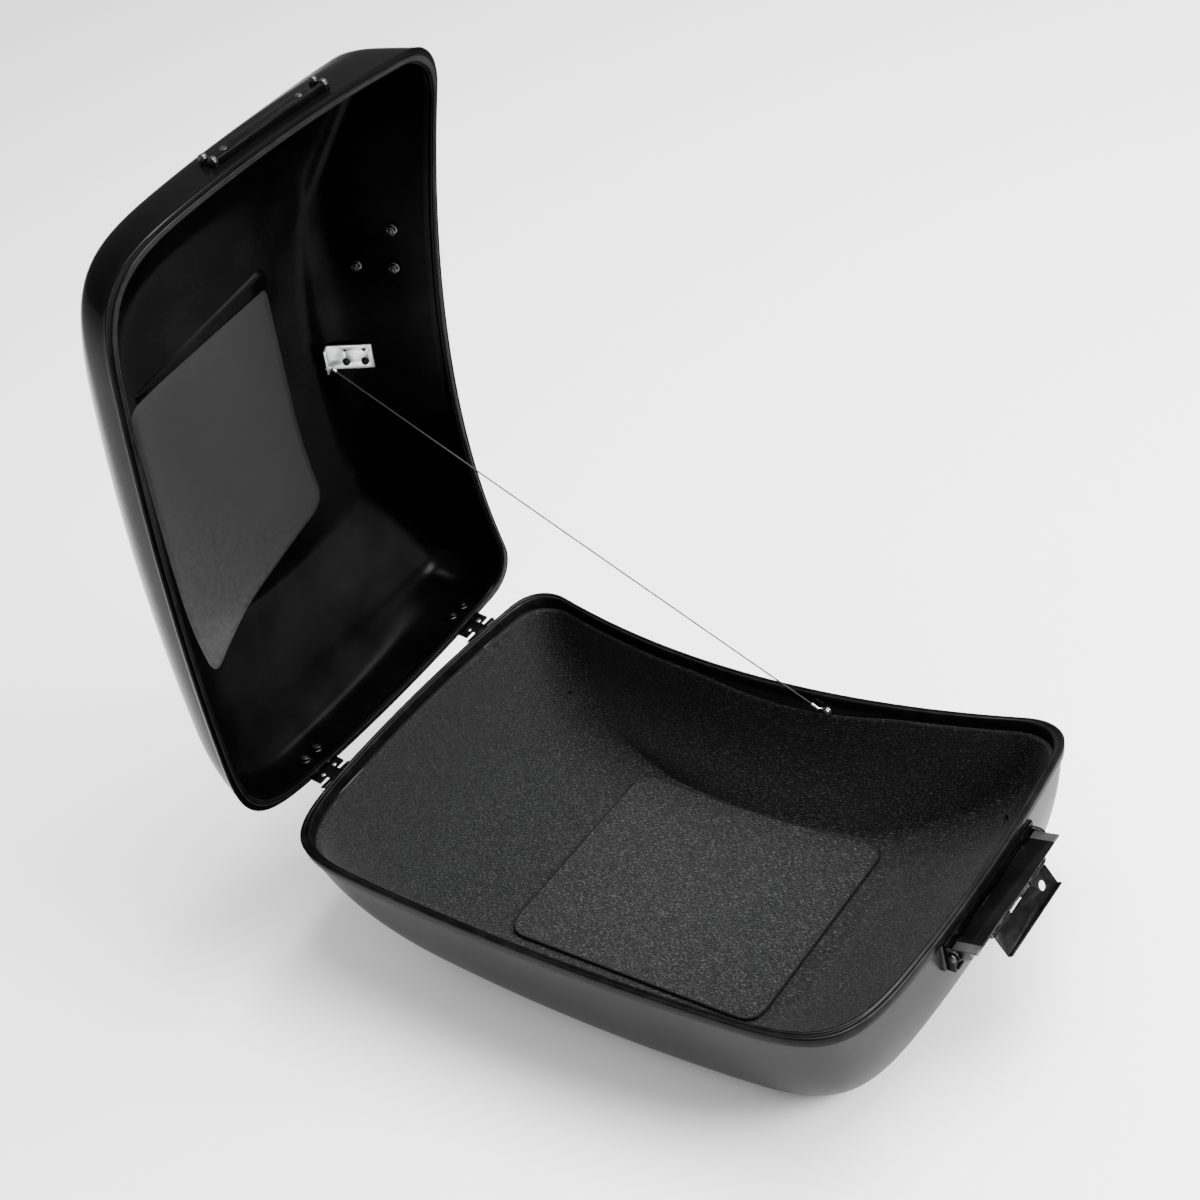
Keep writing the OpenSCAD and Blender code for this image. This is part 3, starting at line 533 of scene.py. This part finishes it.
catch_pocket = ((CATCH_X, LATCH_Y - CATCH_HALF, LID_Z + 13),
                (CATCH_X + 24.5, LATCH_Y + CATCH_HALF, LID_Z + 37.5))
pocket(dome, [catch_pocket]
       + [((HINGE_PAD_X - 24, y - HINGE_PAD_HALF, LID_Z - 1),
           (HINGE_PAD_X, y + HINGE_PAD_HALF, LID_Z + 34)) for y in HINGE_YS.values()])

# Inner skin of the lid in its closed place, to set details on it.
inner_points, inner_faces = skin(rows[outside // len(rows[0]) + SATIN_LIP:])
tree = BVHTree.FromPolygons([tuple(p) for p in inner_points], inner_faces)


def roof_z(x, y):
    """Height of the inner roof over a place, or a stand-in where a ray upwards finds no roof."""
    hit = tree.ray_cast(Vector((x, y, LID_Z + 20)), Vector((0, 0, 1)))[0]
    return hit[2] if hit else LID_Z + 100


def rounded(corners, step=5):
    """Closed outline through corners given as (x, y, radius)."""
    out = []
    count = len(corners)
    for i, (x, y, r) in enumerate(corners):
        p = np.array((x, y), float)
        before = np.array(corners[i - 1][:2], float) - p
        after = np.array(corners[(i + 1) % count][:2], float) - p
        a, b = p + before / np.linalg.norm(before) * r, p + after / np.linalg.norm(after) * r
        arc = [(1 - t) ** 2 * a + 2 * t * (1 - t) * p + t * t * b for t in np.linspace(0, 1, 13)]
        q = np.array(corners[(i + 1) % count][:2], float)
        end = q - after / np.linalg.norm(after) * corners[(i + 1) % count][2]
        m = max(int(np.linalg.norm(end - b) / step), 2)
        out += arc + [b + (end - b) * k / m for k in range(1, m)]
    return np.array(out)


def offset(line, d):
    """Moves a closed outline inwards by d."""
    ahead = np.roll(line, -1, axis=0) - np.roll(line, 1, axis=0)
    ahead /= np.linalg.norm(ahead, axis=1)[:, None] + 1e-9
    side = np.column_stack([-ahead[:, 1], ahead[:, 0]])
    area = np.sum(line[:, 0] * np.roll(line[:, 1], -1) - np.roll(line[:, 0], -1) * line[:, 1])
    return line + side * d * (1 if area > 0 else -1)


def raised(name, corners, profile, steps, mat, strength):
    """Low moulded relief on the inner roof of the lid; the profile is (inset, height) pairs."""
    line = rounded(corners)
    mid = line.mean(axis=0)
    rows = []
    for t, h in profile:
        edge = offset(line, t)
        rows.append(np.array([(x, y, roof_z(x, y) - h * strength(x, y)) for x, y in edge]))
    inner = offset(line, profile[-1][0])
    for i in range(steps):
        k = 1 - (i + 1) / (steps + 1)
        rows.append(np.array([(x, y, roof_z(x, y) - profile[-1][1] * strength(x, y))
                              for x, y in mid + (inner - mid) * k]))
    points, faces = skin(rows)
    return build(name, opened(points), faces[:-2] + [faces[-1]], [mat], "lid", [])


def panel_strength(x, y):
    """The panel stands out most at its low end and fades into the roof at its top front corner."""
    return 1 - 0.65 * min(max((x + 110) / 190, 0), 1) * min(max((y + 60) / 110, 0), 1)


def rib_strength(x, y):
    """The rib rises evenly from its rear end to its front end."""
    return 0.6 + 0.4 * (y - RIB[0][1]) / (RIB[3][1] - RIB[0][1])


# Outlines as (x, y, corner radius), seen from above on the closed lid.
ROOF_PANEL = ((95, -134, 14), (116, 72, 12), (-82, 74, 50), (-178, 88, 22), (-244, -137, 16))
RIB = ((101, -122, 3), (110, -122, 3), (140, 74, 9), (117, 80, 9))
raised("lid_roof_panel", ROOF_PANEL,
       ((-4, -0.5), (-2.2, 0.15), (-0.6, 0.75), (1.2, 1.4), (3.4, 1.8), (6, 2.0)),
       22, PANEL, panel_strength)
raised("lid_roof_rib", RIB, ((-2, -0.4), (-0.6, 0.5), (0.8, 1.6), (2.4, 2.6)), 3, SATIN, rib_strength)

# ---- rim trim and gasket ----


def base_ring(t, z, outer):
    """A ring near the tub's edge at height z, moved inwards by t from the wall's outer or inner line."""
    top, low = (SHELL_TOP, OUT_LOW) if outer else (IN_TOP, IN_LOW)
    return ring(moved(base_level(wall_at(z, top, low)), t, z))


# Section of the trim that straddles the tub's edge, with a shallow channel along its top:
# (inset, height) pairs that follow the outer face of the wall, pairs that follow its inner face, and
# two more on the outer face that close the slot for the wall.
TRIM_OUT = ((-1.5, 160), (-1.9, 160.4), (-2, 161), (-2, 170.5), (-1.6, 171.4), (-0.9, 171.8),
            (0.7, 171.9), (1.1, 171.5))
TRIM_IN = ((1.4, 170.8), (2.2, 170.6), (2.9, 170.9), (3.2, 171.6), (3.6, 171.9), (4.9, 171.8),
           (5.6, 171.4), (6, 170.5), (6, 161), (5.9, 160.4), (5.4, 160), (4.3, 160.2), (4.2, 168.6))
TRIM_SLOT = ((-0.2, 168.6), (-0.2, 160.2))
rows = [base_ring(t, z, True) for t, z in TRIM_OUT]
rows += [base_ring(t, z, False) for t, z in TRIM_IN]
rows += [base_ring(t, z, True) for t, z in TRIM_SLOT]
points, faces = skin(rows, loop=True)
build("rim_trim", points, faces, [RUBBER], "base", ["base_rim_trim"], 50)

# Section of the gasket with its two lips, as (inset, height over the mouth) pairs.
GASKET = ((5, 0.4), (4.8, -0.4), (5.2, -1.2), (6.2, -1.6), (7.3, -1.1), (8.3, -1.6), (9.3, -1.2),
          (9.7, -0.4), (9.5, 0.4))
rows = [ring(moved(mouth, t, LID_Z + z)) for t, z in GASKET]
points, faces = skin(rows, loop=True)
build("lid_gasket", opened(points), faces, [RUBBER], "lid", ["lid_seal"], 50)

# ---- felt lining ----
FINE = dict(n_edge=150, n_corner=56)
# Small dents in the hinge end's lining, over the hinge screws, as (y, z).
DIMPLES = ((160, 152), (144, 152), (156, 152), (140, 152), (-104, 152), (-140, 141), (-131, 108))
DIMPLE_DEPTH = 2.4
DIMPLE_SPREAD = 11
# The upper edge of the front wall's lining sags between these two places.
SAG_FROM = -89
SAG_TO = 174
SAG_DEPTH = 12
SAG_LOW = 118


def felt_height(u, rise):
    """Height of the lining at u, lifted off the floor of the tub by rise."""
    return RIM_Z * (1 - u) + rise * u + FELT_GAP


def top_ring(t, z):
    """A fine ring of the lining on the straight stretch under the rim."""
    return ring(moved(base_level(wall_at(z, IN_TOP, IN_LOW)), t, z), **FINE)


liner_us = [u for u in base_us if u > 0.1]
inner = WALL + FELT_GAP + FELT
rows = [ring(liner_level(u, WALL + FELT_GAP, felt_height(u, WALL)), **FINE) for u in liner_us[::4]]
rows += [top_ring(WALL + FELT_GAP, 148), top_ring(WALL + FELT_GAP, FELT_TOP - 2),
         top_ring(WALL + FELT_GAP + 0.6, FELT_TOP - 0.6), top_ring(WALL + FELT_GAP + 2, FELT_TOP),
         top_ring(inner - 0.7, FELT_TOP - 0.6), top_ring(inner, FELT_TOP - 2)]
rows += [top_ring(inner, z) for z in (153, 150, 147)]
FELT_STEPS = 90
dense = [math.sin(ANGLE_BOTTOM * (1 - i / FELT_STEPS)) for i in range(FELT_STEPS + 1)]
rows += [ring(liner_level(u, inner, felt_height(u, WALL + FELT)), **FINE)
         for u in reversed(dense) if u > 0.16]
rows += fill_rings(rows[-1], 26)
points, faces = skin(rows)


def ruffled(points, height, size, sharp):
    """A felt surface lifted unevenly: soft waves of the given size and a sharp random nap."""
    out = points.copy()
    for i, p in enumerate(points):
        at = Vector(p) / size
        lift = noise.noise(at) * height + rng.uniform(-sharp, sharp)
        out[i, 0] += lift * noise.noise(at * 2.3 + Vector((9, 0, 0))) * 1.4
        out[i, 1] += lift * noise.noise(at * 2.1 + Vector((0, 9, 0))) * 1.4
        out[i, 2] += lift
    return out


points = ruffled(points, 0.2, 7, 0.06)
for i, (x, y, z) in enumerate(points):
    if y > 120 and SAG_FROM < x < SAG_TO and z > SAG_LOW:
        drop = SAG_DEPTH * math.sin(math.pi * (x - SAG_FROM) / (SAG_TO - SAG_FROM)) ** 1.3
        points[i, 2] -= drop * min((z - SAG_LOW) / 38, 1)
    if x < -290:
        for dy, dz in DIMPLES:
            d2 = (y - dy) ** 2 + (z - dz) ** 2
            if d2 < 120:
                points[i, 0] -= DIMPLE_DEPTH * math.exp(-d2 / DIMPLE_SPREAD)
lining = build("felt_lining", points, faces, [CARPET], "base", ["base_liner"], 60)
drill(lining, vent_bores)

# ---- floor mat ----
MAT_Z = 16.6
MAT_OUTLINE = ((-160, -125, 26), (160, -125, 24), (160, 140, 24), (-160, 140, 24))
MAT_HALF = 156
MAT_HOLLOW = 8
# Rounded edge of the mat as (inset, height) pairs.
MAT_EDGE = ((0.8, 0), (0.1, 0.5), (0, 2.4), (0.2, 3.1), (0.8, 3.5), (2, 3.6), (5, 3.6))
# Radius of the dark tube along the mat's edge that stands in for the shade in the seam.
SEAM_SHADE_R = 1.3


def mat_ring(d):
    """Outline of the mat, hollowed towards the front wall and moved inwards by d."""
    line = rounded(MAT_OUTLINE, 3)
    hollow = [MAT_HOLLOW * (1 - (x / MAT_HALF) ** 2) * max((y - 40) / 100, 0) for x, y in line]
    line[:, 1] -= hollow
    return offset(line, d)


rows = []
for d, z in MAT_EDGE:
    edge = mat_ring(d)
    rows.append(np.column_stack([edge, np.full(len(edge), MAT_Z + z)]))
rows += fill_rings(rows[-1], 40)
points, faces = skin(rows)
points = ruffled(points, 0.18, 8, 0.06)
build("felt_mat", points, faces, [MAT_FELT], "base", ["floor_mat"], 60)

# Painted shade: a near-black tube, darker than the mat, laid where the seam between mat and lining lies in
# shadow.
rows = [np.column_stack([mat_ring(0.4 - SEAM_SHADE_R * math.cos(w)),
                         np.full(len(mat_ring(0)), MAT_Z + 2.5 + SEAM_SHADE_R * math.sin(w))])
        for w in np.linspace(0, 2 * math.pi, 12, endpoint=False)]
points, faces = skin(rows, loop=True)
build("mat_seam_shade_tube", points, faces, [SEAM_SHADE], "base", [], 60)

# ---- check cable ----


def tube(path, radius, sides=14):
    """Round rings along a path."""
    rows = []
    for i, p in enumerate(path):
        a = path[min(i + 1, len(path) - 1)] - path[max(i - 1, 0)]
        a /= np.linalg.norm(a)
        u = np.cross(a, (0, 1, 0))
        u /= np.linalg.norm(u)
        v = np.cross(a, u)
        rows.append(np.array([p + radius * (math.cos(w) * u + math.sin(w) * v)
                              for w in np.linspace(0, 2 * math.pi, sides, endpoint=False)]))
    return rows


CABLE_R = 0.8
CABLE_SAG = 1.2
CABLE_STEPS = 120
low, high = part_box("check_cable")
low, high = np.array(low) / MM, np.array(high) / MM
cable_base = np.array((high[0] - CABLE_R, high[1] - CABLE_R, low[2] + CABLE_R))
cable_lid = np.array((low[0] + CABLE_R, low[1] + CABLE_R, high[2] - CABLE_R))
path = []
for i in range(CABLE_STEPS + 1):
    t = i / CABLE_STEPS
    sag = CABLE_SAG * math.sin(math.pi * t)
    path.append(cable_base + (cable_lid - cable_base) * t - np.array((0, 0, sag)))
points, faces = skin(tube(path, CABLE_R))
mesh = bpy.data.meshes.new("stay_cable")
mesh.from_pydata([tuple(p) for p in points * MM], [], faces)
mesh.materials.append(CABLE)
smooth(mesh, 50)
cable = bpy.data.objects.new("stay_cable", mesh)
bpy.context.scene.collection.objects.link(cable)
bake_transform(cable)
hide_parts("check_cable")

# ---- hardware: each keeps the form of its CAD node, with worked edges ----
# CAD node, body, material, slot, width of the bevel.
HARDWARE = (
    ("hinge_base_leaf_rear", "base", BLACK_STEEL, "black_steel", 0.5),
    ("hinge_base_leaf_front", "base", BLACK_STEEL, "black_steel", 0.5),
    ("hinge_lid_leaf_rear", "lid", BLACK_STEEL, "black_steel", 0.5),
    ("hinge_lid_leaf_front", "lid", BLACK_STEEL, "black_steel", 0.5),
    ("hinge_pin_rear", "base", ZINC, "zinc_steel", 0.4),
    ("hinge_pin_front", "base", ZINC, "zinc_steel", 0.4),
    ("hinge_base_screws", "base", ZINC, "zinc_steel", 0.4),
    ("hinge_lid_bolts", "lid", NUT_STEEL, "zinc_steel", 0.4),
    ("hinge_lid_rivets", "lid", ZINC, "zinc_steel", 0.4),
    ("lid_stud_bolts", "lid", DARK_STEEL, "zinc_steel", 0.4),
    ("lid_stud_nuts", "lid", NUT_STEEL, "zinc_steel", 0.4),
    ("rack_washers", "base", ZINC, "zinc_steel", 0.1),
    ("catch_plate", "lid", BLACK_STEEL, "black_steel", 0.4),
    ("catch_end_hooks", "lid", DARK_STEEL, "black_steel", 0.5),
    ("catch_screws", "lid", DARK_STEEL, "zinc_steel", 0.4),
    ("cable_bracket", "lid", ALU, "bracket_alu", 0.45),
    ("cable_bracket_screws", "lid", BLACK_STEEL, "black_steel", 0.3),
    ("cable_lid_ferrule", "lid", ZINC, "zinc_steel", 0.3),
    ("cable_base_eyelet", "base", ZINC, "zinc_steel", 0.25),
    ("cable_anchor_screw", "base", ZINC, "zinc_steel", 0.4),
    ("latch_bracket", "base", BLACK_STEEL, "black_steel", 0.5),
    ("latch_bracket_screws", "base", DARK_STEEL, "zinc_steel", 0.2),
    ("latch_pivot_pin", "base", NUT_STEEL, "zinc_steel", 0.4),
    ("latch_bar", "latch_bar", BAR, "bar_plastic", 0.8),
    ("latch_end_caps", "latch_bar", CAP, "cap_plastic", 0.8),
    ("hook_pin", "latch_bar", DARK_STEEL, "zinc_steel", 0.3),
    ("hook_plate", "hook_plate", BLACK_STEEL, "black_steel", 0.35),
    ("hook_spring", "latch_bar", DARK_STEEL, "zinc_steel", 0.0),
)


def worked(node, body, mat, slot, bevel):
    """A copy of a CAD node with its flat faces joined and its edges bevelled."""
    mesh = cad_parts[node].data.copy()
    mesh.name = node + "_worked"
    mesh.materials.clear()
    mesh.materials.append(mat)
    bm = bmesh.new()
    bm.from_mesh(mesh)
    bmesh.ops.remove_doubles(bm, verts=bm.verts, dist=2e-6)
    bmesh.ops.dissolve_limit(bm, angle_limit=math.radians(0.8), verts=bm.verts, edges=bm.edges)
    for f in bm.faces:
        f.material_index = 0
    bm.to_mesh(mesh)
    bm.free()
    if "custom_normal" in mesh.attributes:
        mesh.attributes.remove(mesh.attributes["custom_normal"])
    obj = bpy.data.objects.new(mesh.name, mesh)
    bpy.context.scene.collection.objects.link(obj)
    if bevel:
        edge = obj.modifiers.new("edges", "BEVEL")
        edge.width = bevel * MM
        edge.segments = 2
        edge.limit_method = "ANGLE"
        edge.angle_limit = math.radians(38)
        bpy.context.view_layer.update()
        dg = bpy.context.evaluated_depsgraph_get()
        obj.data = bpy.data.meshes.new_from_object(obj.evaluated_get(dg))
        obj.modifiers.clear()
    smooth(obj.data, 38)
    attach(obj, body)
    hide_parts(node)


for entry in HARDWARE:
    worked(*entry)

# ---- studio ----
bpy.ops.mesh.primitive_plane_add(size=30, location=(0, 0, 0))
floor = bpy.context.object
floor.name = "studio_floor"
FLOOR = bpy.data.materials.new("studio_white")
FLOOR.use_nodes = True
FLOOR.node_tree.nodes["Principled BSDF"].inputs["Base Color"].default_value = (0.97, 0.97, 0.97, 1)
FLOOR.node_tree.nodes["Principled BSDF"].inputs["Roughness"].default_value = 0.9
floor.data.materials.append(FLOOR)

# The surroundings are brightest behind and above the trunk.
world = bpy.data.worlds.new("studio")
bpy.context.scene.world = world
world.use_nodes = True
sky = world.node_tree
where = sky.nodes.new("ShaderNodeTexCoord")
facing = sky.nodes.new("ShaderNodeVectorMath")
facing.operation = "DOT_PRODUCT"
facing.inputs[1].default_value = (0.30, 0.62, 0.72)
rise = sky.nodes.new("ShaderNodeMapRange")
rise.inputs["From Min"].default_value = -0.5
rise.inputs["From Max"].default_value = 0.8
rise.inputs["To Min"].default_value = 0.35
rise.inputs["To Max"].default_value = 1.35
sky.links.new(where.outputs["Generated"], facing.inputs[0])
sky.links.new(facing.outputs["Value"], rise.inputs["Value"])
sky.links.new(rise.outputs["Result"], sky.nodes["Background"].inputs["Strength"])
sky.nodes["Background"].inputs["Color"].default_value = (1, 1, 1, 1)


def softbox(name, spot, target, width, height, power):
    """A rectangular lamp at spot that shines at target; sizes in metres, power in watts."""
    data = bpy.data.lights.new(name, "AREA")
    data.shape = "RECTANGLE"
    data.size = width
    data.size_y = height
    data.energy = power
    obj = bpy.data.objects.new(name, data)
    obj.location = spot
    obj.rotation_euler = (Vector(target) - Vector(spot)).to_track_quat("-Z", "Y").to_euler()
    bpy.context.scene.collection.objects.link(obj)


softbox("key_light", (2.8, 0.7, 1.9), (0, 0, 0.15), 1.5, 1.5, 240)
softbox("top_light", (0.5, 1.0, 3.4), (0, 0, 0.2), 3.0, 2.4, 380)
softbox("left_light", (-2.6, -1.8, 2.2), (-0.3, 0, 0.4), 0.8, 1.4, 25)

eye = Vector((1.17939, -1.19032, 1.62641))
ahead = Vector((-0.57426, 0.57399, -0.58374)).normalized()
up = Vector((-0.20382, 0.59034, 0.78100)).normalized()
right = ahead.cross(up).normalized()
up = right.cross(ahead)
lens = bpy.data.cameras.new("camera")
lens.lens = 64.913
lens.sensor_width = 36
lens.clip_end = 60
camera = bpy.data.objects.new("camera", lens)
turn = Matrix((right, up, -ahead)).transposed()
camera.matrix_world = Matrix.Translation(eye) @ turn.to_4x4()
bpy.context.scene.collection.objects.link(camera)
bpy.context.scene.camera = camera
